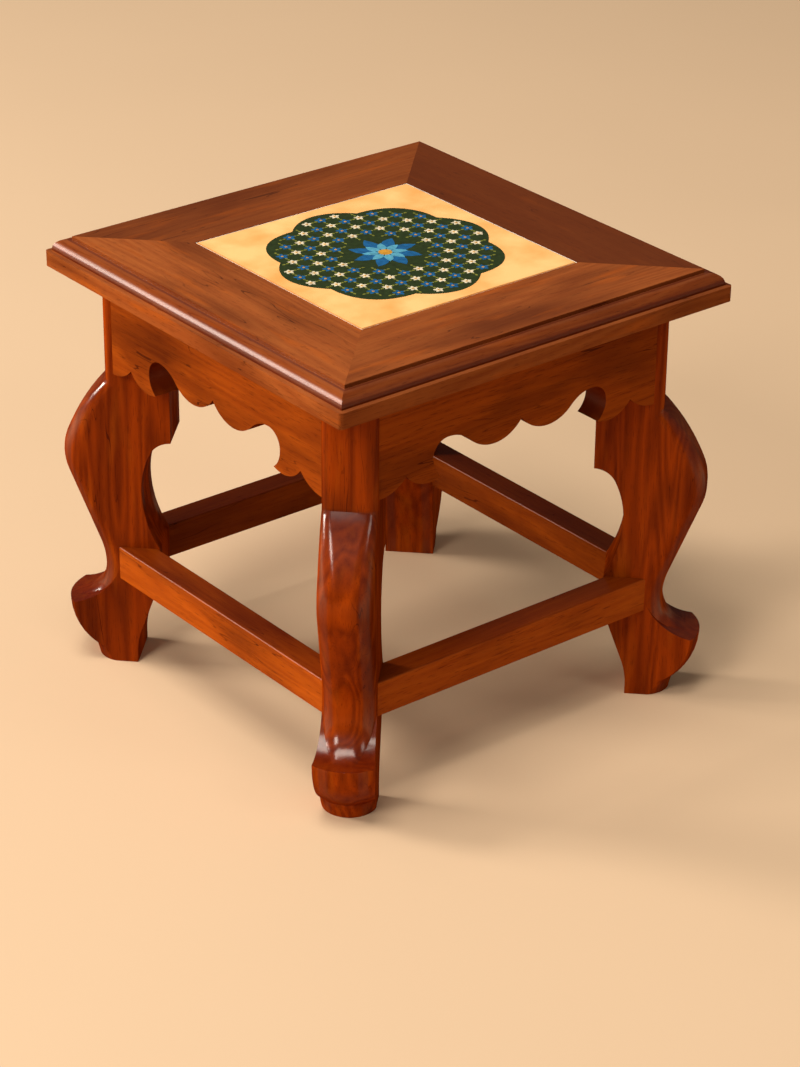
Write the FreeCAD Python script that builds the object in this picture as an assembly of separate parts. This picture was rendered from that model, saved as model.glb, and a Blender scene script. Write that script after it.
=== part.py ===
import FreeCAD, Part
import math
import os
from FreeCAD import Vector

# Tiled wooden stool. Four cabriole legs, cut from thick boards that stand on the diagonals, carry
# scalloped aprons and low stretchers on stub tenons. A mitred, moulded frame holds a ceramic tile.
# Millimetres, +Z up, origin on the floor under the middle of the seat. The front looks along -Y.

# Seat tile and its bed
tile_side = 198.0
tile_thickness = 7.0
tile_edge_round = 0.8
grout_width = 1.0
grout_recess = 0.5          # grout surface below the tile's face
adhesive_thickness = 1.0
board_thickness = 8.0
board_clearance = 0.25      # backing board to the rebate, each side

# Mitred top frame
rail_width = 80.0           # band face to the tile opening
lip_width = 10.0            # ledge under the backing board
lip_thickness = 8.0
edge_fillet = 3.0           # upright under the arris of the flat top
edge_upper_ledge = 3.0
edge_ovolo = 8.0
edge_quirk = 1.0
edge_lower_ledge = 4.0
corner_round = 3.0
spline_thickness = 4.0
spline_width = 24.0         # across the mitre
spline_setback = 18.0       # from both ends of the mitre

# Overall stance and the rails of the base
stool_height = 348.0
top_overhang = 23.0         # band face beyond the aprons' outer faces
apron_thickness = 22.0
apron_height = 77.0
stretcher_thickness = 22.0
stretcher_height = 28.0
stretcher_clearance = 73.0  # floor to stretcher
stretcher_round = 1.5

# Scalloped lower edge of the aprons, from the middle outwards; the rises start at its lowest line
centre_lobe_width = 47.0    # middle cusp to the foot of the arch
arch_inner_width = 20.0     # foot of the arch to its crown
arch_outer_width = 13.5     # crown to the widest place of the arch
hook_width = 7.5            # hook tip, back under the arch
side_lobe_inner_width = 10.0
side_lobe_outer_width = 21.5
end_lobe_width = 24.2
centre_cusp_rise = 26.0
arch_foot_rise = 22.6
arch_crown_rise = 31.0
arch_waist_rise = 18.5
hook_rise = 2.0
side_cusp_rise = 10.7

# Stub tenons
tenon_thickness = 8.0
apron_tenon_shoulder = 12.0     # apron edge to tenon, top and bottom
stretcher_tenon_shoulder = 5.0
mortise_web = 6.0               # wood left between the two tenons that meet in a leg
mortise_depth_gap = 1.5
joint_clearance = 0.1

# Legs, in the plane of their diagonal
leg_thickness = 40.0
post_proud = 7.5            # post beyond the line where the aprons meet its flat sides
post_round = 8.0
block_depth = 11.0          # post inwards of the aprons' inner faces
knee_bulge = 35.0           # knee beyond the post
knee_radius = 45.0
knee_slope = 67.0           # degrees from level, where the knee turns into its flatter crest
knee_rise = 63.5            # knee to the shoulder under the post
knee_round = 15.0           # rounded edges from the knee down to the toe
shoulder_round = 7.0        # the same edges where they run under the post
shin_slope = 21.0           # degrees from upright
shin_length = 63.0          # straight part
ankle_radius = 58.0
ankle_height = 81.0
scoop_radius = 30.0         # hollow above the toe
toe_hollow_radius = 45.0    # flatter hollow where the toe spreads to the leg's full thickness
toe_overhang = 21.5         # lip of the toe beyond the foot's pad
toe_flare = 4.0             # toe wider than the leg, each side
toe_bow_radius = 42.0       # lip of the toe, seen from above
pad_height = 12.0           # floor to the crease under the swelling toe
pad_flare = 3.0             # pad wider at the crease than on the floor
foot_length = 33.5          # on the floor
heel_height = 19.0
heel_round = 10.0
waist_margin = 0.5          # leg inwards of the stretchers' inner faces
bay_depth = 13.0            # hollow of the inner edge above the stretchers
bay_lower_rise = 49.0
bay_upper_rise = 41.5

# Glue blocks that hold the top to the aprons
glue_block_depth = 20.0
glue_block_height = 20.0
glue_block_chamfer = 3.0
glue_block_end_gap = 6.0    # to the legs

# Worked out from the sizes above
root2 = math.sqrt(2.0)
opening_half = tile_side / 2 + grout_width
top_half = opening_half + rail_width
rebate_depth = tile_thickness + adhesive_thickness + board_thickness
top_thickness = lip_thickness + rebate_depth
underside = stool_height - top_thickness
board_level = underside + lip_thickness
adhesive_level = board_level + board_thickness
tile_level = adhesive_level + adhesive_thickness
band_height = top_thickness - edge_fillet - edge_ovolo - edge_quirk
rail_face = top_half - top_overhang
apron_level = underside - apron_height
stretcher_top = stretcher_clearance + stretcher_height

SIDES = ("front", "right", "back", "left")
CORNERS = ("front_left", "front_right", "back_right", "back_left")
FIRST_CORNER_ANGLE = 225.0
CROWN_SHARE = 0.77          # radius of the bay's crown, as a share of the crown's reach
FLARE_MARGIN = 2.0          # flare of the toe starts this far outside the stretchers
LIP_OVERRUN = 10.0          # degrees that curves are drawn past the lip of the toe, to be cut there


class Outline:
    """A chain of lines and tangent arcs in one plane, drawn from point to point."""

    def __init__(self, plane, start):
        self.plane = plane
        self.point = start
        self.heading = 0.0
        self.edges = []

    def add(self, curve, end, heading):
        self.edges.append(curve.toShape())
        self.point = end
        self.heading = heading
        return self

    def line(self, end):
        da = end[0] - self.point[0]
        db = end[1] - self.point[1]
        segment = Part.LineSegment(self.plane(*self.point), self.plane(*end))
        return self.add(segment, end, math.atan2(db, da))

    def arc(self, end, leaving=None):
        """Arc that leaves along the present heading, or along the one given in degrees."""
        heading = self.heading if leaving is None else math.radians(leaving)
        da = end[0] - self.point[0]
        db = end[1] - self.point[1]
        half_turn = math.remainder(math.atan2(db, da) - heading, 2 * math.pi)
        bulge = math.tan(half_turn / 2) / 2
        middle = (self.point[0] + da / 2 + bulge * db, self.point[1] + db / 2 - bulge * da)
        curve = Part.Arc(self.plane(*self.point), self.plane(*middle), self.plane(*end))
        return self.add(curve, end, heading + 2 * half_turn)

    def solid(self, depth):
        return Part.Face(Part.Wire(self.edges)).extrude(depth)


def turned(shape, angle):
    """Copy of a shape, turned about the stool's upright axis."""
    copy = shape.copy()
    copy.rotate(Vector(0, 0, 0), Vector(0, 0, 1), angle)
    return copy


def block(x, y, z):
    """Box between pairs of limits."""
    return Part.makeBox(x[1] - x[0], y[1] - y[0], z[1] - z[0], Vector(x[0], y[0], z[0]))


def square_plate(half, bottom, thickness):
    return block((-half, half), (-half, half), (bottom, bottom + thickness))


def edges_through(shape, points):
    """Edges of a shape that pass through the given points."""
    marks = [Part.Vertex(point) for point in points]
    return [edge for edge in shape.Edges if any(edge.distToShape(mark)[0] < 1e-4 for mark in marks)]


def middle_of(edge):
    return edge.valueAt((edge.FirstParameter + edge.LastParameter) / 2)


# Top frame

def spline_box(clearance):
    """Loose tongue of the front left mitre, swollen by a clearance for its slot."""
    inner = opening_half * root2 + spline_setback - clearance
    outer = top_half * root2 - spline_setback + clearance
    half_width = spline_width / 2 + clearance
    half_thickness = spline_thickness / 2 + clearance
    level = underside + band_height / 2
    levels = (level - half_thickness, level + half_thickness)
    return turned(block((inner, outer), (-half_width, half_width), levels), FIRST_CORNER_ANGLE)


def top_rail():
    """Front rail of the top: moulded outside, rebated inside, mitred and slotted at both ends."""
    arris = top_half - edge_lower_ledge - edge_ovolo - edge_upper_ledge
    ovolo_foot = underside + band_height + edge_quirk
    ovolo_head = ovolo_foot + edge_ovolo

    section = Outline(lambda d, z: Vector(-top_half, -d, z), (opening_half - lip_width, underside))
    section.line((top_half, underside))
    section.line((top_half, underside + band_height))
    section.line((top_half - edge_lower_ledge, underside + band_height))
    section.line((top_half - edge_lower_ledge, ovolo_foot))
    section.arc((arris + edge_upper_ledge, ovolo_head))
    section.line((arris, ovolo_head))
    section.line((arris, stool_height))
    section.line((opening_half, stool_height))
    section.line((opening_half, board_level))
    section.line((opening_half - lip_width, board_level))
    section.line((opening_half - lip_width, underside))
    rail = section.solid(Vector(2 * top_half, 0, 0))

    corners = [(0, 0), (-top_half, -top_half), (top_half, -top_half), (0, 0)]
    wedge = Part.Face(Part.makePolygon([Vector(x, y, underside) for x, y in corners]))
    rail = rail.common(wedge.extrude(Vector(0, 0, top_thickness)))

    envelope = square_plate(top_half, underside, top_thickness)
    uprights = [edge for edge in envelope.Edges if abs(edge.tangentAt(0).z) > 0.5]
    rail = rail.common(envelope.makeFillet(corner_round, uprights))

    slot = spline_box(joint_clearance)
    return rail.cut([slot, turned(slot, 90)])


def tile():
    plate = square_plate(tile_side / 2, tile_level, tile_thickness)
    rim = [edge for edge in plate.Edges if middle_of(edge).z > stool_height - 1e-6]
    return plate.makeFillet(tile_edge_round, rim)


def tile_grout():
    height = stool_height - grout_recess - adhesive_level
    ring = square_plate(opening_half, adhesive_level, height)
    return ring.cut(square_plate(tile_side / 2, adhesive_level, height))


def tile_adhesive():
    return square_plate(tile_side / 2, adhesive_level, adhesive_thickness)


def tile_backing_board():
    return square_plate(opening_half - board_clearance, board_level, board_thickness)


# Rails of the base

def leg_gap(distance):
    """Half the length of a rail between the flat sides of two legs, at a distance from the middle."""
    return distance - leg_thickness / root2


def tenon_ends(thickness, levels, clearance, end_gap):
    """Both end tenons of a front rail, swollen by a clearance for their mortises."""
    middle = rail_face - thickness / 2
    root = leg_gap(rail_face - thickness)
    tip = middle - tenon_thickness / 2 - mortise_web / root2 + end_gap
    half = tenon_thickness / 2 + clearance
    depth = (-middle - half, -middle + half)
    height = (levels[0] - clearance, levels[1] + clearance)
    return [block((-tip, -root), depth, height), block((root, tip), depth, height)]


APRON_TENON_LEVELS = (apron_level + apron_tenon_shoulder, underside - apron_tenon_shoulder)
STRETCHER_TENON_LEVELS = (
    stretcher_clearance + stretcher_tenon_shoulder,
    stretcher_top - stretcher_tenon_shoulder,
)


def shoulder_wedge(bottom, top):
    """Space between the flat sides of the two front legs."""
    tip = leg_gap(0.0)
    reach = leg_gap(top_half)
    corners = [(0, tip), (-reach, -top_half), (reach, -top_half), (0, tip)]
    wedge = Part.Face(Part.makePolygon([Vector(x, y, bottom) for x, y in corners]))
    return wedge.extrude(Vector(0, 0, top - bottom))


def scallop_half(plane):
    """Right half of an apron's lower edge, from the middle cusp to the end at the leg."""
    widths = [
        centre_lobe_width,
        arch_inner_width,
        arch_outer_width,
        -hook_width,
        side_lobe_inner_width,
        side_lobe_outer_width,
        end_lobe_width,
    ]
    rises = [
        arch_foot_rise,
        arch_crown_rise,
        arch_waist_rise,
        hook_rise,
        0.0,
        side_cusp_rise,
        0.0,
    ]
    stretch = leg_gap(rail_face) / sum(widths)
    reach = [stretch * sum(widths[:count + 1]) for count in range(len(widths))]
    foot, crown, waist, hook, lobe, cusp, end = [
        (across, apron_level + rise) for across, rise in zip(reach, rises)
    ]

    inwards = Outline(plane, crown)
    inwards.arc(foot, leaving=180)
    inwards.arc((0.0, apron_level + centre_cusp_rise))

    outwards = Outline(plane, crown)
    outwards.arc(waist, leaving=0)
    outwards.arc(hook)

    inner_lobe = Outline(plane, lobe)
    inner_lobe.arc(hook, leaving=180)
    outer_lobe = Outline(plane, lobe)
    outer_lobe.arc(cusp, leaving=0)
    end_lobe = Outline(plane, end)
    end_lobe.arc(cusp, leaving=180)

    pieces = (inwards, outwards, inner_lobe, outer_lobe, end_lobe)
    return [edge for piece in pieces for edge in piece.edges]


def apron():
    """Front apron: scalloped board with mitred shoulders and a tenon at each end."""
    half = leg_gap(rail_face)
    right = scallop_half(lambda s, z: Vector(s, -rail_face, z))
    left = scallop_half(lambda s, z: Vector(-s, -rail_face, z))
    upper = Outline(lambda s, z: Vector(s, -rail_face, z), (half, apron_level))
    upper.line((half, underside))
    upper.line((-half, underside))
    upper.line((-half, apron_level))
    loop = Part.Wire(Part.sortEdges(right + left + upper.edges)[0])
    board = Part.Face(loop).extrude(Vector(0, apron_thickness, 0))
    board = board.common(shoulder_wedge(apron_level, underside))
    board = board.fuse(tenon_ends(apron_thickness, APRON_TENON_LEVELS, 0.0, 0.0))
    return board.removeSplitter()


def stretcher():
    """Front stretcher: eased bar with mitred shoulders and a tenon at each end."""
    half = leg_gap(rail_face)
    depth = (-rail_face, -rail_face + stretcher_thickness)
    bar = block((-half, half), depth, (stretcher_clearance, stretcher_top))
    arrises = [edge for edge in bar.Edges if abs(edge.tangentAt(0).x) > 0.5]
    bar = bar.makeFillet(stretcher_round, arrises)
    bar = bar.common(shoulder_wedge(stretcher_clearance, stretcher_top))
    bar = bar.fuse(tenon_ends(stretcher_thickness, STRETCHER_TENON_LEVELS, 0.0, 0.0))
    return bar.removeSplitter()


# Legs

def leg():
    """Front left leg: cabriole outside, hollowed inside, with four mortises in its flat sides."""
    half = leg_thickness / 2
    flat_line = -half + rail_face * root2
    post_reach = flat_line + post_proud
    block_reach = flat_line - apron_thickness * root2 - block_depth
    waist_reach = flat_line - stretcher_thickness * root2 - waist_margin
    bay_reach = waist_reach + bay_depth
    bay_height = stretcher_top + bay_lower_rise
    crown_reach = bay_reach - block_reach
    crown_radius = CROWN_SHARE * crown_reach
    crown_lift = bay_upper_rise - crown_radius
    crown_side = crown_reach - crown_radius
    flank_radius = (crown_reach ** 2 + crown_lift ** 2 - crown_radius ** 2) / (2 * crown_side)
    crown_turn = math.atan2(crown_lift, flank_radius - crown_reach)
    crown_end = (
        block_reach + crown_radius * math.cos(crown_turn),
        bay_height + crown_lift + crown_radius * math.sin(crown_turn),
    )

    slope = math.radians(shin_slope)
    bends = knee_radius + ankle_radius
    knee_reach = post_reach + knee_bulge
    knee_height = ankle_height + bends * math.sin(slope) + shin_length * math.cos(slope)
    ankle_reach = knee_reach - bends * (1 - math.cos(slope)) - shin_length * math.sin(slope)
    knee_centre = knee_reach - knee_radius
    ankle_centre = ankle_reach + ankle_radius
    shin_foot = (
        ankle_centre - ankle_radius * math.cos(slope),
        ankle_height + ankle_radius * math.sin(slope),
    )
    shin_head = (
        knee_centre + knee_radius * math.cos(slope),
        knee_height - knee_radius * math.sin(slope),
    )

    lift = math.radians(90 - knee_slope)
    brow = (knee_centre + knee_radius * math.cos(lift), knee_height + knee_radius * math.sin(lift))
    shoulder_height = knee_height + knee_rise
    crest_chord = (brow[0] - post_reach, shoulder_height - brow[1])
    crest_turn = math.radians(knee_slope) - math.atan2(crest_chord[1], crest_chord[0])
    crest_radius = math.hypot(*crest_chord) / (2 * math.sin(crest_turn))
    crest_centre = (brow[0] - crest_radius * math.cos(lift), brow[1] - crest_radius * math.sin(lift))
    crest_reach = post_reach - post_round
    crest = (
        crest_reach,
        crest_centre[1] + math.sqrt(crest_radius ** 2 - (crest_reach - crest_centre[0]) ** 2),
    )

    lip = (ankle_reach + scoop_radius, ankle_height - scoop_radius)
    pad_reach = lip[0] - toe_overhang
    heel_reach = pad_reach - foot_length
    overrun = math.radians(LIP_OVERRUN)

    def past_lip(radius):
        """Start of a hollow of the given radius whose lowest point is the lip of the toe."""
        return (lip[0] + radius * math.sin(overrun), lip[1] + radius * (1 - math.cos(overrun)))

    def side_plane(reach, height):
        return Vector(reach, -half, height)

    across = Vector(0, leg_thickness, 0)

    def rims(shape, pieces):
        """Edges of both flat sides of a shape that run along the given pieces of its outline."""
        points = [middle_of(piece) for piece in pieces]
        return edges_through(shape, points + [point + across for point in points])

    ledge_height = (bay_height + bay_upper_rise + crest[1]) / 2
    ledge = [(knee_centre, knee_height), (knee_centre, ledge_height), (block_reach, ledge_height)]

    crown = Outline(side_plane, brow)
    crown.arc(crest, leaving=180 - knee_slope)
    for corner in [(block_reach, crest[1])] + ledge[::-1] + [brow]:
        crown.line(corner)
    crown_block = crown.solid(across)
    crown_block = crown_block.makeFillet(knee_round, shoulder_round, rims(crown_block, crown.edges[:1]))

    inner = Outline(side_plane, ledge[-1])
    inner.line((block_reach, bay_height + bay_upper_rise))
    inner.arc(crown_end, leaving=0)
    inner.arc((bay_reach, bay_height))
    inner.arc((waist_reach, stretcher_top))
    inner.line((waist_reach, stretcher_clearance))
    fall = (heel_reach - waist_reach, heel_height - stretcher_clearance)
    ease = heel_round / math.hypot(*fall)
    inner.line((heel_reach - ease * fall[0], heel_height - ease * fall[1]))
    inner.arc((heel_reach, heel_height - heel_round))
    inner.line((heel_reach, 0.0))
    inner.line((past_lip(scoop_radius)[0], 0.0))
    inner.line(past_lip(scoop_radius))

    outer = Outline(side_plane, past_lip(scoop_radius))
    outer.arc((ankle_reach, ankle_height), leaving=180 + LIP_OVERRUN)
    outer.arc(shin_foot)
    outer.line(shin_head)
    outer.arc(brow)
    rounded = list(outer.edges)
    for corner in ledge:
        outer.line(corner)

    body = Part.Face(Part.Wire(inner.edges + outer.edges)).extrude(across)
    body = body.makeFillet(knee_round, rims(body, rounded)).fuse(crown_block)

    toe_half = half + toe_flare
    toe_front = past_lip(toe_hollow_radius)
    toe_back = lip[0] - toe_hollow_radius
    toe_top = lip[1] + toe_hollow_radius

    def toe_plane(reach, height):
        return Vector(reach, -toe_half, height)

    toe = Outline(toe_plane, toe_front)
    toe.arc((toe_back, toe_top), leaving=180 + LIP_OVERRUN)
    toe.line((toe_back, 0.0))
    toe.line((toe_front[0], 0.0))
    toe.line(toe_front)

    def floor_plane(reach, side):
        return Vector(reach, side, 0)

    flare_start = flat_line + FLARE_MARGIN
    flare_angle = math.degrees(math.atan2(toe_flare, lip[0] - flare_start))
    spread = Outline(floor_plane, (flare_start, half))
    spread.line((toe_back, half))
    spread.line((toe_back, -half))
    spread.line((flare_start, -half))
    spread.arc((lip[0], -toe_half), leaving=0)
    spread.line((toe_front[0], -toe_half))
    spread.line((toe_front[0], toe_half))
    spread.line((lip[0], toe_half))
    spread.arc((flare_start, half), leaving=180 + 2 * flare_angle)
    toe_block = toe.solid(Vector(0, 2 * toe_half, 0)).common(spread.solid(Vector(0, 0, toe_top)))
    body = body.fuse(toe_block).removeSplitter()

    bow_axis = lip[0] - toe_bow_radius
    crease = (pad_reach + pad_flare, pad_height)
    swell_radius = ((lip[0] - crease[0]) ** 2 + (lip[1] - crease[1]) ** 2) / (2 * (lip[0] - crease[0]))
    swell_top = (
        lip[0] - swell_radius * (1 - math.cos(overrun)),
        lip[1] + swell_radius * math.sin(overrun),
    )

    def bow_plane(reach, height):
        return Vector(bow_axis, bow_axis - reach, height)

    front = Outline(bow_plane, (bow_axis, swell_top[1]))
    front.line(swell_top)
    front.arc(crease, leaving=270 + LIP_OVERRUN)
    front.line((pad_reach, 0.0))
    front.line((bow_axis, 0.0))
    front.line((bow_axis, swell_top[1]))
    bow = Part.Face(Part.Wire(front.edges)).revolve(Vector(bow_axis, 0, 0), Vector(0, 0, 1), 180)
    waste = block((bow_axis, toe_front[0]), (-toe_half, toe_half), (0.0, swell_top[1]))
    body = body.cut(waste.cut(bow))

    post_foot = shoulder_height - knee_round / math.cos(math.radians(knee_slope))
    post = block((block_reach, post_reach), (-half, half), (post_foot, underside))
    arrises = edges_through(post, [Vector(post_reach, side, underside - 1) for side in (-half, half)])
    post = post.makeFillet(post_round, arrises)

    blank = turned(body.fuse(post).removeSplitter(), FIRST_CORNER_ANGLE)
    mortises = tenon_ends(apron_thickness, APRON_TENON_LEVELS, joint_clearance, mortise_depth_gap)
    mortises += tenon_ends(stretcher_thickness, STRETCHER_TENON_LEVELS, joint_clearance, mortise_depth_gap)
    return blank.cut(mortises + [turned(mortise, -90) for mortise in mortises])


# Fixing of the top

def glue_block():
    """Batten in the corner between the front apron and the top."""
    inner_face = rail_face - apron_thickness
    leg_corner = leg_gap(inner_face) - block_depth / root2
    half = leg_corner - glue_block_end_gap
    depth = (-inner_face, -inner_face + glue_block_depth)
    level = underside - glue_block_height
    batten = block((-half, half), depth, (level, underside))
    return batten.makeChamfer(glue_block_chamfer, edges_through(batten, [Vector(0, depth[1], level)]))


def main():
    os.makedirs("parts", exist_ok=True)
    by_side = {
        "top_rail": top_rail(),
        "apron": apron(),
        "stretcher": stretcher(),
        "glue_block": glue_block(),
    }
    by_corner = {
        "leg": leg(),
        "mitre_spline": spline_box(0.0),
    }
    single = {
        "tile": tile(),
        "tile_grout": tile_grout(),
        "tile_adhesive": tile_adhesive(),
        "tile_backing_board": tile_backing_board(),
    }

    nodes = dict(single)
    for places, shapes in ((SIDES, by_side), (CORNERS, by_corner)):
        for name, shape in shapes.items():
            for turn, place in enumerate(places):
                nodes[f"{name}_{place}"] = turned(shape, 90 * turn)
    for name, shape in nodes.items():
        shape.exportStep(f"parts/{name}.step")
        print(name, len(shape.Solids), shape.isValid(), round(shape.Volume))


main()
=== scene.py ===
import math

import bmesh
import bpy
from mathutils import Euler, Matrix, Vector


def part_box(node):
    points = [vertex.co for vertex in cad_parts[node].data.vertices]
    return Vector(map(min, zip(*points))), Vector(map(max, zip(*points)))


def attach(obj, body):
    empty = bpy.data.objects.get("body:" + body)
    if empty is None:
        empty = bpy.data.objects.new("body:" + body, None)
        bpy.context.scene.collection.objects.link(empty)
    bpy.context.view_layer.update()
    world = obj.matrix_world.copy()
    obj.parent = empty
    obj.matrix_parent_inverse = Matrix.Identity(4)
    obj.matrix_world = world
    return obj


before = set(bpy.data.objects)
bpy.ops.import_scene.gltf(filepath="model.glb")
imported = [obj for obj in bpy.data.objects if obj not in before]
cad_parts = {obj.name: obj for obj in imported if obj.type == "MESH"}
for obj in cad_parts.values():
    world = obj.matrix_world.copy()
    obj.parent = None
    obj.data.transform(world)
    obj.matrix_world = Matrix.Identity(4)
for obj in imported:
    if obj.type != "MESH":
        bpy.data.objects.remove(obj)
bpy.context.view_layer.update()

bl_info = {
    "name": "Tiled wooden stool",
    "version": (1, 0, 0),
    "blender": (4, 5, 0),
    "location": "View3D > Sidebar > Stool",
    "description": "Wood finishes, glazed tile and studio for a low stool with a tiled seat",
    "category": "Object",
}

MM = 0.001
# Rails that run from left to right have their grain along X, the others along Y
GRAIN_OF_SIDE = {"front": "X", "back": "X", "left": "Y", "right": "Y"}
# How dark each board of the top is: partly board-to-board tone, partly painted shade, lightest on the left
# board by the lamps and darkest on the right one
TOP_SHADE = {"front": 0.24, "back": 0.5, "left": 0.0, "right": 0.88}
# Painted shade on the stretchers: the front one a little darker, the back and right ones, seen under the
# seat, darker still
STRETCHER_SHADE = {"front": 0.15, "back": 0.5, "left": 0.0, "right": 0.5}
CORNERS = ("front_left", "front_right", "back_right", "back_left")
TILE_LOW, TILE_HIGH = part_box("tile")
RAIL_LOW, RAIL_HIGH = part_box("top_rail_front")
# A leg turns from its square post to its carved knee a little under its apron
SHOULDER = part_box("apron_front")[0].z - 7 * MM
# Sockets of the colour form of the Mix node
MIX_A = 6
MIX_B = 7
MIX_RESULT = 2


def linear(code):
    """Linear red, green, blue and alpha of an sRGB hex colour."""
    channels = [int(code[start:start + 2], 16) / 255 for start in (1, 3, 5)]
    return [c / 12.92 if c <= 0.04045 else ((c + 0.055) / 1.055) ** 2.4 for c in channels] + [1.0]


def colour(name, description, code):
    """Colour property with an sRGB hex default."""
    return bpy.props.FloatVectorProperty(
        name=name, description=description, subtype="COLOR", size=4, min=0.0, max=1.0, default=linear(code))


def length(name, description, millimetres):
    """Length property with its default in millimetres."""
    return bpy.props.FloatProperty(
        name=name, description=description, unit="LENGTH", min=0.0, default=millimetres * MM)


class StoolFinish(bpy.types.PropertyGroup):
    top_light: colour("Light wood of the top", "Early wood under the stain", "#9e5525")
    top_dark: colour("Dark wood of the top", "Late wood under the stain", "#833e18")
    body_light: colour("Light wood of the rails", "Early wood under the stain", "#b05210")
    body_dark: colour("Dark wood of the rails", "Late wood under the stain", "#933e0a")
    leg_light: colour("Light wood of the legs", "Early wood under the stain", "#b04607")
    leg_dark: colour("Dark wood of the legs", "Late wood under the stain", "#6c2404")
    # The shade colour also paints shade over whole boards of the top and the stretchers
    shade: colour("Shade", "Broad darker zones of a board", "#4c1a05")
    # The stain colour, also laid on as painted shade in the quirks, on the stretchers' tops and on the
    # legs' rounded edges
    stain_and_painted_shade: colour("End grain", "Stain drawn deep into cut ends and mouldings", "#4c0c02")
    pore: colour("Pores", "Pores and hair cracks filled with stain", "#330c03")
    flame: colour("Flames", "Golden flecks where the grain turns", "#b5560f")
    # Painted sheen: a pale veil on the flat of the top, standing in for its reflection
    painted_sheen: colour("Haze", "Fine scratches in the lacquer of a used top", "#d09a78")
    glaze: colour("Glaze", "Cream ground of the tile", "#fdc985")
    glaze_warm: colour("Warm glaze", "Drifts of deeper colour in the glaze", "#eba153")
    glaze_edge: colour("Glaze edge", "Thin glaze over the tile's edge", "#b06a26")
    grout: colour("Grout", "Joint between tile and wood", "#efe4d2")
    plywood: colour("Plywood", "Backing board, seen from below", "#c69a62")
    raw_wood: colour("Bare hardwood", "Unfinished wood of the glue blocks", "#9b6a3d")
    ring_width: length("Ring width", "Growth rings across the grain", 30.0)
    streak_width: length("Streak width", "Fine streaks across the grain", 2.2)
    pore_width: length("Pore width", "Pores across the grain, drawn coarser than real ones to show", 0.6)
    moulding_width: length("Moulding width", "Moulded edge outside the flat of the top", 15.0)
    quirk_width: length("Quirk width", "Ledges above and below the round of the moulding", 3.5)
    edge_place: length("Rounded edge", "Rounded edges of a leg, from its middle", 14.5)
    # The rounded edges are painted darker, as painted shade
    edge_width: length("Rounded edge width", "How far the stain spreads over a rounded edge", 5.5)
    # The top of the knee is painted darker this far down
    crest_height: length("Knee crest", "How far down the stain gathers on top of a knee", 45.0)
    arris: length("Arris", "Softened edges of the wood", 0.4)


class StoolMedallion(bpy.types.PropertyGroup):
    radius: length("Radius", "Reach of the lobed ground", 88.0)
    cusp: bpy.props.FloatProperty(
        name="Cusp", description="Depth of the cusps between the lobes, a share of the reach", default=0.1)
    heart: length("Heart", "Reach of the lotus in the middle", 26.0)
    trellis: length("Trellis", "Distance between two flowers of the trellis", 13.0)
    relief: length("Relief", "Thickness of one coat of enamel", 0.06)
    ground: colour("Ground", "Dark green enamel", "#28381a")
    leaf: colour("Leaves", "Leaf green enamel", "#7f8436")
    blue: colour("Blue", "Cobalt blue enamel", "#17619b")
    sky: colour("Light blue", "Pale blue enamel", "#59a9c9")
    gold: colour("Gold", "Ochre gold enamel", "#d29a35")
    white: colour("White", "Warm white enamel", "#efe5c9")


class StoolStage(bpy.types.PropertyGroup):
    floor: colour("Floor", "Plain pale floor", "#d9be9f")
    sky: colour("Room light", "Soft light from all round", "#fff0de")
    lamp: colour("Lamps", "Colour of the soft boxes", "#fff4e6")
    camera_place: bpy.props.FloatVectorProperty(
        name="Camera place", description="Where the camera stands", subtype="TRANSLATION", unit="LENGTH",
        default=(-1.3468, -1.6961, 1.2418))
    camera_turn: bpy.props.FloatVectorProperty(
        name="Camera turn", description="How the camera is turned", subtype="EULER", unit="ROTATION",
        default=[math.radians(angle) for angle in (62.531, -0.496, -38.532)])
    lens: bpy.props.FloatProperty(
        name="Lens", description="Focal length on a 36 mm sensor", unit="CAMERA", default=107.47)
    key_power: bpy.props.FloatProperty(
        name="Key", description="Tall soft box behind the left side", unit="POWER", default=138.0)
    side_power: bpy.props.FloatProperty(
        name="Side", description="Soft box before the left side", unit="POWER", default=82.0)
    top_power: bpy.props.FloatProperty(
        name="Overhead", description="Large soft box over the stool", unit="POWER", default=154.0)
    front_power: bpy.props.FloatProperty(
        name="Front", description="Small soft box before the front", unit="POWER", default=13.0)
    room_strength: bpy.props.FloatProperty(
        name="Room", description="Strength of the light from all round", default=0.15)
    mirrored_strength: bpy.props.FloatProperty(
        name="Mirrored room", description="Strength of the room as glossy faces mirror it", default=0.1)


# Materials

def put(tree, kind, inputs=(), **settings):
    """Add a node with its settings and inputs, given in order or by key, and give back its outputs."""
    node = tree.nodes.new("ShaderNode" + kind)
    for name, value in settings.items():
        setattr(node, name, value)
    for key, value in inputs.items() if isinstance(inputs, dict) else enumerate(inputs):
        if isinstance(value, bpy.types.NodeSocket):
            tree.links.new(value, node.inputs[key])
        else:
            node.inputs[key].default_value = value
    return node.outputs


def material_named(name, build):
    """Material whose surface comes from a function that fills its empty node tree."""
    material = bpy.data.materials.new(name)
    material.use_nodes = True
    tree = material.node_tree
    tree.nodes.clear()
    put(tree, "OutputMaterial", {"Surface": build(tree)})
    return material


def drawn_noise(tree, grain, along, across, detail):
    """Noise drawn out along the grain, with both sizes in metres."""
    scale = [1 / across] * 3
    scale["XYZ".index(grain)] = 1 / along
    place = put(tree, "TexCoord")["Object"]
    drawn = put(tree, "Mapping", {"Vector": place, "Scale": scale})["Vector"]
    return put(tree, "TexNoise", {"Vector": drawn, "Scale": 1.0, "Detail": detail})["Fac"]


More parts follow.
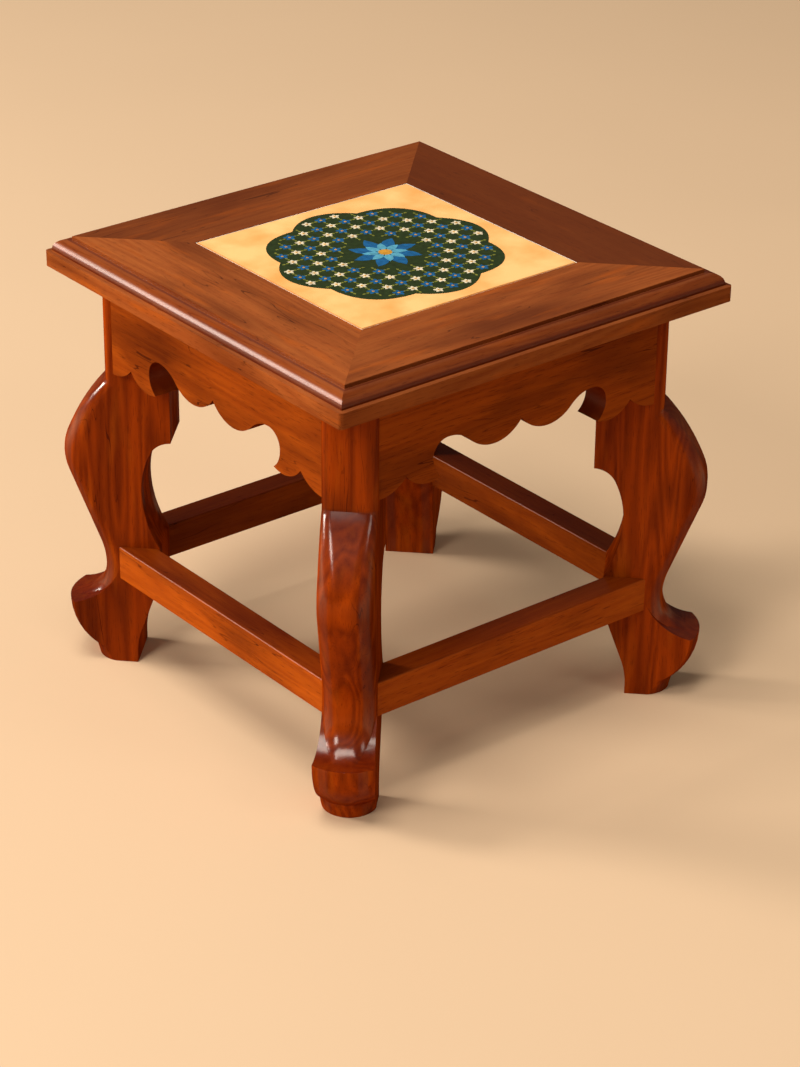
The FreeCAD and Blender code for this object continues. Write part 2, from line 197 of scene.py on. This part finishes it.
def layered(tree, ground, layers):
    """Colour of a ground under layers of other colours, each with its cover and the cover's strength."""
    result = tuple(ground)
    for cover, strength, tone in layers:
        share = put(tree, "Math", (cover, strength), operation="MULTIPLY")[0]
        mix = put(tree, "Mix", {0: share, MIX_A: result, MIX_B: tuple(tone)}, data_type="RGBA")
        result = mix[MIX_RESULT]
    return result


def darker(tone, share):
    """Colour with all its channels at a share of themselves."""
    return [channel * share for channel in tone[:3]] + [1.0]


def band(tree, value, centre, width):
    """One where a value is close to a centre, falling to zero at a width from it."""
    offset = put(tree, "Math", (value, centre), operation="SUBTRACT")[0]
    distance = put(tree, "Math", (offset,), operation="ABSOLUTE")[0]
    return put(tree, "MapRange", (distance, width / 2, width, 1.0, 0.0))[0]


def end_grain_mask(tree, grain):
    """Where a cut across the grain faces out."""
    normal = put(tree, "NewGeometry")["Normal"]
    facing = put(tree, "SeparateXYZ", (normal,))["XYZ".index(grain)]
    return put(tree, "MapRange", (put(tree, "Math", (facing,), operation="ABSOLUTE")[0], 0.15, 0.8))[0]


def moulding_mask(tree, grain):
    """The moulded edge of the top: darker all over, with painted shade as dark lines in its two quirks."""
    finish = bpy.context.scene.stool_finish
    across = "Y" if grain == "X" else "X"
    place = put(tree, "SeparateXYZ", (put(tree, "TexCoord")["Object"],))
    reach = put(tree, "Math", (place[across],), operation="ABSOLUTE")[0]
    edge = -RAIL_LOW.y
    arris = edge - finish.moulding_width
    band_top = (RAIL_LOW.z + RAIL_HIGH.z) / 2
    outside = put(tree, "MapRange", (reach, arris - 0.3 * MM, arris, 0.0, 0.42))[0]
    # Painted shade: dark lines in the quirks, the recesses above and below the round
    upper_quirk = band(tree, reach, arris + finish.quirk_width / 2, finish.quirk_width / 2)
    lower_quirk = band(tree, reach, edge - finish.quirk_width, finish.quirk_width / 2)
    quirks = put(tree, "Math", (upper_quirk, lower_quirk), operation="MAXIMUM")[0]
    stain = put(tree, "Math", (outside, quirks), operation="MAXIMUM")[0]
    above = put(tree, "MapRange", (place["Z"], band_top, band_top + 0.5 * MM))[0]
    below = put(tree, "MapRange", (place["Z"], RAIL_HIGH.z - 0.6 * MM, RAIL_HIGH.z - 0.2 * MM, 1.0, 0.0))[0]
    height = put(tree, "Math", (above, below), operation="MULTIPLY")[0]
    return put(tree, "Math", (stain, height), operation="MULTIPLY")[0]


def carved_mask(tree, grain):
    """Darker, glossier places of a leg: stain on cut ends, painted shade on the rounded edges, darker on
    top of the knee and a little on its flat sides.
    """
    finish = bpy.context.scene.stool_finish
    place = put(tree, "SeparateXYZ", (put(tree, "TexCoord")["Object"],))
    reaches = [put(tree, "Math", (place[axis],), operation="ABSOLUTE")[0] for axis in "XY"]
    askew = put(tree, "Math", reaches, operation="SUBTRACT")[0]
    off_middle = put(tree, "Math", (askew,), operation="ABSOLUTE")[0]
    reach = put(tree, "Math", (off_middle, math.sqrt(0.5)), operation="MULTIPLY")[0]
    edge_end = finish.edge_place + 5 * MM
    under_shoulder = put(tree, "MapRange", (place["Z"], SHOULDER, SHOULDER + 3 * MM, 0.6, 0.0))[0]
    # Painted shade on the rounded edges under the shoulder, which turn away from the light
    rounded = band(tree, reach, finish.edge_place, finish.edge_width)
    before = put(tree, "MapRange", (reach, finish.edge_place, edge_end, 1.0, 0.0))[0]
    crest = put(tree, "MapRange", (place["Z"], SHOULDER - finish.crest_height, SHOULDER - 5 * MM))[0]
    knee = put(tree, "Math", (before, crest), operation="MULTIPLY")[0]
    carved = put(tree, "Math", (rounded, knee), operation="MAXIMUM")[0]
    edges = put(tree, "Math", (carved, under_shoulder), operation="MULTIPLY")[0]
    sides = put(tree, "MapRange", (reach, finish.edge_place, edge_end, 0.0, 0.3))[0]
    stain = put(tree, "Math", (end_grain_mask(tree, grain), edges), operation="MAXIMUM")[0]
    return put(tree, "Math", (stain, sides), operation="MAXIMUM")[0]


def stretcher_top_shade_mask(tree, grain):
    """Upper faces of a stretcher, painted darker as shade under the seat, and glossier."""
    normal = put(tree, "NewGeometry")["Normal"]
    return put(tree, "MapRange", (put(tree, "SeparateXYZ", (normal,))["Z"], 0.4, 0.9, 0.0, 0.75))[0]


def lacquered_teak(name, grain, tone, stain_and_shade_mask, coarseness, coats, coat_roughness, shade=0.0, painted_sheen=0.0):
    """Teak, sanded, stained red-brown and lacquered.

    The eye sees fine dark streaks and slow rings along the grain, golden flames, filled pores, hair
    cracks, stain and painted shade where the mask lies, a clear gloss that is deepest there and least
    on faces that turn away or down, and a painted sheen on the top. The coats are the gloss on plain
    and on stained or shaded places.
    """
    finish = bpy.context.scene.stool_finish
    light, dark = (getattr(finish, f"{tone}_{depth}") for depth in ("light", "dark"))

    def build(tree):
        streak = coarseness * finish.streak_width
        slow = drawn_noise(tree, grain, 12 * finish.ring_width, finish.ring_width, 1.0)
        folded = put(tree, "Math", (slow, 0.045), operation="PINGPONG")[0]
        rings = put(tree, "MapRange", (folded, 0.0, 0.045))[0]
        streaks = drawn_noise(tree, grain, 45 * streak, streak, 3.0)
        zones = drawn_noise(tree, grain, 5 * finish.ring_width, 1.4 * finish.ring_width, 2.0)
        flames = drawn_noise(tree, grain, 2.5 * finish.ring_width, 0.4 * finish.ring_width, 2.0)
        pores = drawn_noise(tree, grain, 18 * finish.pore_width, finish.pore_width, 1.0)
        waves = drawn_noise(tree, grain, 70 * finish.streak_width, 4 * finish.streak_width, 1.0)
        lines = put(tree, "Math", (waves, 0.5, 0.004), operation="COMPARE")[0]
        cracked = put(tree, "MapRange", (zones, 0.45, 0.6))[0]
        cracks = put(tree, "Math", (lines, cracked), operation="MULTIPLY")[0]

        figure = put(tree, "Mix", {0: 0.5, 2: rings, 3: put(tree, "MapRange", (streaks, 0.25, 0.75))[0]})[0]
        filled = put(tree, "MapRange", (pores, 0.6, 0.74))[0]
        # The mask lays on stain and, on the moulding, stretchers and legs, painted shade; the coat follows
        # it
        stain = stain_and_shade_mask(tree, grain)
        rise = put(tree, "SeparateXYZ", (put(tree, "NewGeometry")["Normal"],))["Z"]
        sheen_cover = put(tree, "MapRange", (rise, 0.9, 0.99))[0]
        wood = layered(tree, light, [
            (figure, 1.0, dark),
            (shade, 1.0, finish.shade),
            (put(tree, "MapRange", (zones, 0.48, 0.75))[0], 0.8, finish.shade),
            (put(tree, "MapRange", (flames, 0.56, 0.74))[0], 0.45 * (1 - shade), finish.flame),
            (filled, 0.5, finish.pore),
            (cracks, 0.7, finish.pore),
            # Stain, and painted shade where the mask marks quirks, stretcher tops or a leg's rounded edges
            (stain, 0.75, finish.stain_and_painted_shade),
            # Painted sheen on the level faces of the top
            (sheen_cover, painted_sheen, finish.painted_sheen),
        ])

        facing = put(tree, "LayerWeight", {"Blend": 0.5})["Facing"]
        turned_away = put(tree, "MapRange", (facing, 0.45, 0.75, 1.0, 0.1))[0]
        upward = put(tree, "MapRange", (rise, -0.1, 0.3, 0.25, 1.0))[0]
        seen = put(tree, "Math", (turned_away, upward), operation="MULTIPLY")[0]
        thick = put(tree, "MapRange", (stain, 0.3, 0.6, *coats))[0]
        height = put(tree, "Mix", {0: 0.5, 2: figure, 3: filled})[0]
        bump = put(tree, "Bump", {"Strength": 0.12, "Distance": 0.2 * MM, "Height": height}, invert=True)
        return put(tree, "BsdfPrincipled", {
            "Base Color": wood,
            "Roughness": put(tree, "MapRange", (streaks, 0.3, 0.7, 0.45, 0.6))[0],
            "Normal": bump[0],
            "Specular IOR Level": 0.0,
            "Coat Weight": put(tree, "Math", (thick, seen), operation="MULTIPLY")[0],
            "Coat Roughness": coat_roughness,
        })[0]

    return material_named(name, build)


def bare_wood(name, grain, tone):
    """Planed wood without a finish: pale streaks, matt."""
    finish = bpy.context.scene.stool_finish

    def build(tree):
        streaks = drawn_noise(tree, grain, 40 * finish.streak_width, finish.streak_width, 4.0)
        zones = drawn_noise(tree, grain, 6 * finish.ring_width, finish.ring_width, 2.0)
        wood = layered(tree, tone, [
            (put(tree, "MapRange", (streaks, 0.35, 0.7))[0], 1.0, darker(tone, 0.6)),
            (put(tree, "MapRange", (zones, 0.5, 0.9))[0], 1.0, darker(tone, 0.6)),
        ])
        bump = put(tree, "Bump", {"Strength": 0.2, "Distance": 0.2 * MM, "Height": streaks})
        return put(tree, "BsdfPrincipled", {"Base Color": wood, "Roughness": 0.7, "Normal": bump[0]})[0]

    return material_named(name, build)


def glazed_earthenware(name):
    """Pressed earthenware under a cream glaze.

    The eye sees slow drifts of deeper cream, a brown line where the glaze thins over the edge, a
    faint ripple and a soft gloss.
    """
    finish = bpy.context.scene.stool_finish

    def build(tree):
        place = put(tree, "TexCoord")["Object"]
        drift = put(tree, "TexNoise", {"Vector": place, "Scale": 1 / (35 * MM), "Detail": 4.0})["Fac"]
        grit = put(tree, "TexNoise", {"Vector": place, "Scale": 1 / (1.2 * MM), "Detail": 2.0})["Fac"]
        ripple = put(tree, "TexNoise", {"Vector": place, "Scale": 1 / (14 * MM), "Detail": 1.0})["Fac"]
        axes = put(tree, "SeparateXYZ", (place,))
        sides = [put(tree, "Math", (axes[axis],), operation="ABSOLUTE")[0] for axis in "XY"]
        reach = put(tree, "Math", sides, operation="MAXIMUM")[0]
        edge = put(tree, "MapRange", (reach, TILE_HIGH.x - 1.3 * MM, TILE_HIGH.x - 0.3 * MM))[0]
        glaze = layered(tree, finish.glaze, [
            (put(tree, "MapRange", (drift, 0.35, 0.75))[0], 1.0, finish.glaze_warm),
            (put(tree, "MapRange", (grit, 0.66, 0.8))[0], 0.35, finish.glaze_edge),
            (edge, 0.8, finish.glaze_edge),
        ])
        bump = put(tree, "Bump", {"Strength": 0.12, "Distance": 0.3 * MM, "Height": ripple})
        return put(tree, "BsdfPrincipled", {
            "Base Color": glaze,
            "Roughness": put(tree, "MapRange", (grit, 0.3, 0.7, 0.4, 0.48))[0],
            "Normal": bump[0],
            "Specular IOR Level": 0.3,
        })[0]

    return material_named(name, build)


def cement(name, tone):
    """Cement grout or adhesive: sandy, matt and a little stained."""

    def build(tree):
        place = put(tree, "TexCoord")["Object"]
        sand = put(tree, "TexNoise", {"Vector": place, "Scale": 1 / (0.7 * MM), "Detail": 3.0})["Fac"]
        stain = put(tree, "TexNoise", {"Vector": place, "Scale": 1 / (25 * MM), "Detail": 3.0})["Fac"]
        paste = layered(tree, tone, [
            (put(tree, "MapRange", (stain, 0.5, 0.75))[0], 0.7, darker(tone, 0.55)),
            (put(tree, "MapRange", (sand, 0.55, 0.8))[0], 0.4, darker(tone, 0.55)),
        ])
        bump = put(tree, "Bump", {"Strength": 0.1, "Distance": 0.1 * MM, "Height": sand})
        return put(tree, "BsdfPrincipled", {"Base Color": paste, "Roughness": 0.85, "Normal": bump[0]})[0]

    return material_named(name, build)


def enamel(name, tone):
    """Brushed overglaze enamel: colour that pools a little unevenly, as glossy as the glaze."""

    def build(tree):
        place = put(tree, "TexCoord")["Object"]
        pool = put(tree, "TexNoise", {"Vector": place, "Scale": 1 / (4 * MM), "Detail": 3.0})["Fac"]
        deep = put(tree, "MapRange", (pool, 0.35, 0.7))[0]
        return put(tree, "BsdfPrincipled", {
            "Base Color": layered(tree, tone, [(deep, 1.0, darker(tone, 0.6))]),
            "Roughness": put(tree, "MapRange", (pool, 0.3, 0.7, 0.4, 0.5))[0],
            "Specular IOR Level": 0.3,
        })[0]

    return material_named(name, build)


def plain_floor(name, tone):
    """Plain matt floor, only just uneven in tone."""

    def build(tree):
        place = put(tree, "TexCoord")["Object"]
        cloud = put(tree, "TexNoise", {"Vector": place, "Scale": 1 / (400 * MM), "Detail": 2.0})["Fac"]
        ground = layered(tree, tone, [(cloud, 1.0, darker(tone, 0.95))])
        return put(tree, "BsdfPrincipled", {
            "Base Color": ground,
            "Roughness": 0.9,
            "Specular IOR Level": 0.0,
        })[0]

    return material_named(name, build)


# Pieces

def dress(name, material):
    """Give a node of the model its material."""
    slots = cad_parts[name].data.materials
    slots.clear()
    slots.append(material)


def soften(name):
    """Take the sharpness off a wooden node's arrises."""
    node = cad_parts[name]
    weld = node.modifiers.new("Joined facets", "WELD")
    weld.merge_threshold = 0.01 * MM
    arris = node.modifiers.new("Arris", "BEVEL")
    arris.width = bpy.context.scene.stool_finish.arris
    arris.segments = 2
    arris.limit_method = "ANGLE"
    arris.angle_limit = math.radians(40)
    arris.use_clamp_overlap = True
    shading = node.modifiers.new("Faces lead the shading", "WEIGHTED_NORMAL")
    shading.mode = "FACE_AREA_WITH_ANGLE"


def new_piece(name, mesh_builder, material):
    """New piece that rides on the stool, built by a function that fills an empty bmesh."""
    shape = bmesh.new()
    mesh_builder(shape)
    bmesh.ops.recalc_face_normals(shape, faces=shape.faces)
    mesh = bpy.data.meshes.new(name)
    shape.to_mesh(mesh)
    shape.free()
    mesh.materials.append(material)
    piece = bpy.data.objects.new(name, mesh)
    bpy.context.scene.collection.objects.link(piece)
    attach(piece, "root")
    return piece


def ground_reach(angle):
    """Reach of the ground at an angle round its middle: eight lobes that meet in cusps."""
    plan = bpy.context.scene.stool_medallion
    return plan.radius * (1 - plan.cusp + plan.cusp * abs(math.cos(4 * angle)))


def raise_face(shape, verts, coats):
    """Give a flat shape on the tile some coats of enamel, its underside sunk in the glaze."""
    relief = bpy.context.scene.stool_medallion.relief
    bmesh.ops.translate(shape, verts=verts, vec=(0.0, 0.0, TILE_HIGH.z - relief))
    raised = bmesh.ops.extrude_face_region(shape, geom=[verts[0].link_faces[0]], use_keep_orig=True)["geom"]
    top = [item for item in raised if isinstance(item, bmesh.types.BMVert)]
    bmesh.ops.translate(shape, verts=top, vec=(0.0, 0.0, (coats + 1) * relief))


def disc(shape, radius, coats):
    """Round dot in the middle."""
    rim = bmesh.ops.create_circle(shape, cap_ends=True, segments=16, radius=radius)["verts"]
    raise_face(shape, rim, coats)


def petal(shape, start, reach, width, coats):
    """One petal or leaf, pointed at its tip, that starts some way from the middle."""
    rim = bmesh.ops.create_circle(shape, cap_ends=True, segments=10, radius=0.5)["verts"]
    tip = max(rim, key=lambda vertex: vertex.co.x)
    bmesh.ops.scale(shape, verts=rim, vec=(reach, width, 1.0))
    bmesh.ops.translate(shape, verts=[tip], vec=(0.15 * reach, 0.0, 0.0))
    bmesh.ops.translate(shape, verts=rim, vec=(start + reach / 2, 0.0, 0.0))
    raise_face(shape, rim, coats)


def round_about(shape, count, turn=0.0):
    """Turn all of a shape about the middle, then copy it round."""
    bmesh.ops.rotate(shape, verts=shape.verts, matrix=Euler((0.0, 0.0, turn)).to_matrix())
    step = 2 * math.pi / count
    bmesh.ops.spin(
        shape, geom=[*shape.verts, *shape.edges, *shape.faces], axis=(0.0, 0.0, 1.0),
        angle=step * (count - 1), steps=count - 1, use_duplicate=True)


def strew(shape, places):
    """Copy all of a shape to each place on the tile, and take the first one away."""
    first = [*shape.verts, *shape.edges, *shape.faces]
    for place in places:
        copy = bmesh.ops.duplicate(shape, geom=first)["geom"]
        verts = [item for item in copy if isinstance(item, bmesh.types.BMVert)]
        bmesh.ops.translate(shape, verts=verts, vec=(*place, 0.0))
    bmesh.ops.delete(shape, geom=first, context="VERTS")


def trellis(odd, offset, clear):
    """Crossings of a square trellis that lie on the ground and clear of its middle."""
    plan = bpy.context.scene.stool_medallion
    count = math.ceil(plan.radius / plan.trellis)
    steps = range(-count, count + 1)
    places = [
        ((i + offset[0]) * plan.trellis, (j + offset[1]) * plan.trellis)
        for i in steps for j in steps if (i + j) % 2 == odd]
    return [
        (x, y) for x, y in places
        if plan.heart + clear < math.hypot(x, y) < ground_reach(math.atan2(y, x)) - clear]


# Operators

class STOOL_OT_top_frame(bpy.types.Operator):
    """Finish the mitred rails of the top"""

    bl_idname = "stool.top_frame"
    bl_label = "Top frame"

    def execute(self, context):
        for side, grain in GRAIN_OF_SIDE.items():
            wood = lacquered_teak(
                f"satin_lacquered_teak_top_{side}", grain, "top", moulding_mask, coarseness=1.0,
                coats=(0.15, 1.0), coat_roughness=0.27, shade=TOP_SHADE[side], painted_sheen=0.04)
            dress(f"top_rail_{side}", wood)
            soften(f"top_rail_{side}")
        return {"FINISHED"}


class STOOL_OT_aprons(bpy.types.Operator):
    """Finish the scalloped aprons"""

    bl_idname = "stool.aprons"
    bl_label = "Aprons"

    def execute(self, context):
        for grain in "XY":
            wood = lacquered_teak(
                f"satin_lacquered_teak_apron_{grain}", grain, "body", end_grain_mask, coarseness=1.5,
                coats=(0.12, 0.3), coat_roughness=0.35, shade=0.3)
            for side in (side for side, along in GRAIN_OF_SIDE.items() if along == grain):
                dress(f"apron_{side}", wood)
                soften(f"apron_{side}")
        return {"FINISHED"}


class STOOL_OT_stretchers(bpy.types.Operator):
    """Finish the low stretchers"""

    bl_idname = "stool.stretchers"
    bl_label = "Stretchers"

    def execute(self, context):
        for side, grain in GRAIN_OF_SIDE.items():
            wood = lacquered_teak(
                f"lacquered_teak_stretcher_{side}", grain, "body", stretcher_top_shade_mask, coarseness=1.5,
                coats=(0.2, 0.5), coat_roughness=0.25, shade=STRETCHER_SHADE[side])
            dress(f"stretcher_{side}", wood)
        return {"FINISHED"}


class STOOL_OT_legs(bpy.types.Operator):
    """Finish the cabriole legs"""

    bl_idname = "stool.legs"
    bl_label = "Legs"

    def execute(self, context):
        wood = lacquered_teak(
            "gloss_lacquered_teak_leg", "Z", "leg", carved_mask, coarseness=2.0,
            coats=(0.15, 1.0), coat_roughness=0.19)
        for corner in CORNERS:
            dress(f"leg_{corner}", wood)
            soften(f"leg_{corner}")
        return {"FINISHED"}


class STOOL_OT_hidden_wood(bpy.types.Operator):
    """Finish the glue blocks, the mitre tongues and the board under the tile"""

    bl_idname = "stool.hidden_wood"
    bl_label = "Hidden wood"

    def execute(self, context):
        finish = context.scene.stool_finish
        for side, grain in GRAIN_OF_SIDE.items():
            dress(f"glue_block_{side}", bare_wood(f"bare_hardwood_block_{side}", grain, finish.raw_wood))
        tongue = bare_wood("bare_hardwood_tongue", "X", finish.raw_wood)
        for corner in CORNERS:
            dress(f"mitre_spline_{corner}", tongue)
        dress("tile_backing_board", bare_wood("plywood_board", "Y", finish.plywood))
        return {"FINISHED"}


class STOOL_OT_tile(bpy.types.Operator):
    """Finish the tile, its grout and its bed"""

    bl_idname = "stool.tile"
    bl_label = "Tile"

    def execute(self, context):
        finish = context.scene.stool_finish
        dress("tile", glazed_earthenware("glazed_earthenware"))
        dress("tile_grout", cement("cement_grout", finish.grout))
        dress("tile_adhesive", cement("tile_adhesive_cement", finish.grout))
        return {"FINISHED"}


class STOOL_OT_medallion(bpy.types.Operator):
    """Lay a floral medallion in enamel colours on the tile"""

    bl_idname = "stool.medallion"
    bl_label = "Medallion"

    def execute(self, context):
        plan = context.scene.stool_medallion
        step = plan.trellis

        def ground(shape):
            rim = bmesh.ops.create_circle(shape, cap_ends=True, segments=128, radius=1.0)["verts"]
            for vertex in rim:
                reach = ground_reach(math.atan2(vertex.co.y, vertex.co.x))
                bmesh.ops.scale(shape, verts=[vertex], vec=(reach, reach, 1.0))
            raise_face(shape, rim, 1)

        def flowers(odd, size):
            def build(shape):
                petal(shape, 0.04 * step, size * step, 0.75 * size * step, 3)
                round_about(shape, 5)
                strew(shape, trellis(odd, (0.0, 0.0), 0.45 * step))
            return build

        def hearts(shape):
            disc(shape, 0.08 * step, 4)
            strew(shape, trellis(0, (0.0, 0.0), 0.45 * step) + trellis(1, (0.0, 0.0), 0.45 * step))

        def leaves(along):
            def build(shape):
                petal(shape, 0.02 * step, 0.2 * step, 0.14 * step, 2)
                round_about(shape, 2, along)
                offset = (0.5, 0.0) if along == 0.0 else (0.0, 0.5)
                strew(shape, trellis(0, offset, 0.3 * step) + trellis(1, offset, 0.3 * step))
            return build

        def lotus(count, start, reach, width, coats, turn):
            def build(shape):
                petal(shape, start * plan.heart, reach * plan.heart, width * plan.heart, coats)
                round_about(shape, count, turn)
            return build

        def heart(shape):
            disc(shape, 0.2 * plan.heart, 5)

        parts = {
            "medallion_ground": (ground, plan.ground),
            "medallion_leaves_x": (leaves(0.0), plan.leaf),
            "medallion_leaves_y": (leaves(math.pi / 2), plan.leaf),
            "medallion_blue_flowers": (flowers(0, 0.3), plan.blue),
            "medallion_white_flowers": (flowers(1, 0.24), plan.white),
            "medallion_flower_hearts": (hearts, plan.gold),
            "medallion_lotus_outer": (lotus(8, 0.1, 0.85, 0.42, 3, 0.0), plan.blue),
            "medallion_lotus_inner": (lotus(8, 0.1, 0.5, 0.26, 4, math.pi / 8), plan.sky),
            "medallion_lotus_heart": (heart, plan.gold),
        }
        for name, (builder, tone) in parts.items():
            new_piece(name, builder, enamel(name.replace("medallion", "enamel"), tone))
        return {"FINISHED"}


class STOOL_OT_stage(bpy.types.Operator):
    """Set up the floor, the soft boxes and the camera"""

    bl_idname = "stool.stage"
    bl_label = "Stage"

    def execute(self, context):
        stage = context.scene.stool_stage
        scene = context.scene
        scene.view_settings.view_transform = "Standard"

        shape = bmesh.new()
        bmesh.ops.create_grid(shape, x_segments=1, y_segments=1, size=8.0)
        mesh = bpy.data.meshes.new("studio_floor")
        shape.to_mesh(mesh)
        shape.free()
        mesh.materials.append(plain_floor("matt_floor", stage.floor))
        floor = bpy.data.objects.new("studio_floor", mesh)
        scene.collection.objects.link(floor)

        world = bpy.data.worlds.new("soft_room")
        world.use_nodes = True
        world.node_tree.nodes.clear()
        mirrored = put(world.node_tree, "LightPath")["Is Glossy Ray"]
        strengths = (mirrored, 0.0, 1.0, stage.room_strength, stage.mirrored_strength)
        strength = put(world.node_tree, "MapRange", strengths)[0]
        light = {"Color": tuple(stage.sky), "Strength": strength}
        put(world.node_tree, "OutputWorld", {"Surface": put(world.node_tree, "Background", light)[0]})
        scene.world = world

        middle = Vector((0.0, 0.0, RAIL_LOW.z / 2))
        boxes = {
            "soft_box_key": ((-2.4, 2.7, 1.5), (0.95, 1.45), stage.key_power),
            "soft_box_side": ((-3.5, -0.9, 2.8), (1.3, 1.3), stage.side_power),
            "soft_box_top": ((-1.2, -0.15, 4.85), (2.2, 2.2), stage.top_power),
            "soft_box_front": ((0.95, -3.1, 2.3), (1.0, 1.0), stage.front_power),
        }
        for name, (place, (width, height), power) in boxes.items():
            lamp = bpy.data.lights.new(name, "AREA")
            lamp.shape = "RECTANGLE"
            lamp.size = width
            lamp.size_y = height
            lamp.energy = power
            lamp.color = tuple(stage.lamp)[:3]
            soft_box = bpy.data.objects.new(name, lamp)
            soft_box.location = place
            soft_box.rotation_euler = (middle - Vector(place)).to_track_quat("-Z", "Y").to_euler()
            scene.collection.objects.link(soft_box)

        camera = bpy.data.cameras.new("camera")
        camera.lens = stage.lens
        viewer = bpy.data.objects.new("camera", camera)
        viewer.location = stage.camera_place
        viewer.rotation_euler = stage.camera_turn
        scene.collection.objects.link(viewer)
        scene.camera = viewer
        return {"FINISHED"}


class STOOL_PT_panel(bpy.types.Panel):
    """Pieces of the stool, in the order in which they are made"""

    bl_idname = "STOOL_PT_panel"
    bl_label = "Tiled stool"
    bl_space_type = "VIEW_3D"
    bl_region_type = "UI"
    bl_category = "Stool"

    def draw(self, context):
        for operator in OPERATORS:
            self.layout.operator(operator.bl_idname)
        for group in GROUPS:
            settings = getattr(context.scene, group)
            for name in settings.bl_rna.properties.keys():
                if name not in ("rna_type", "name"):
                    self.layout.prop(settings, name)


GROUPS = {
    "stool_finish": StoolFinish,
    "stool_medallion": StoolMedallion,
    "stool_stage": StoolStage,
}
OPERATORS = (
    STOOL_OT_top_frame,
    STOOL_OT_aprons,
    STOOL_OT_stretchers,
    STOOL_OT_legs,
    STOOL_OT_hidden_wood,
    STOOL_OT_tile,
    STOOL_OT_medallion,
    STOOL_OT_stage,
)


def register():
    for item in (*GROUPS.values(), *OPERATORS, STOOL_PT_panel):
        bpy.utils.register_class(item)
    for name, group in GROUPS.items():
        setattr(bpy.types.Scene, name, bpy.props.PointerProperty(type=group))


def unregister():
    for name in GROUPS:
        delattr(bpy.types.Scene, name)
    for item in (STOOL_PT_panel, *reversed(OPERATORS), *GROUPS.values()):
        bpy.utils.unregister_class(item)


def main():
    register()
    for operator in OPERATORS:
        group, name = operator.bl_idname.split(".")
        getattr(getattr(bpy.ops, group), name)()


if __name__ == "__main__":
    main()
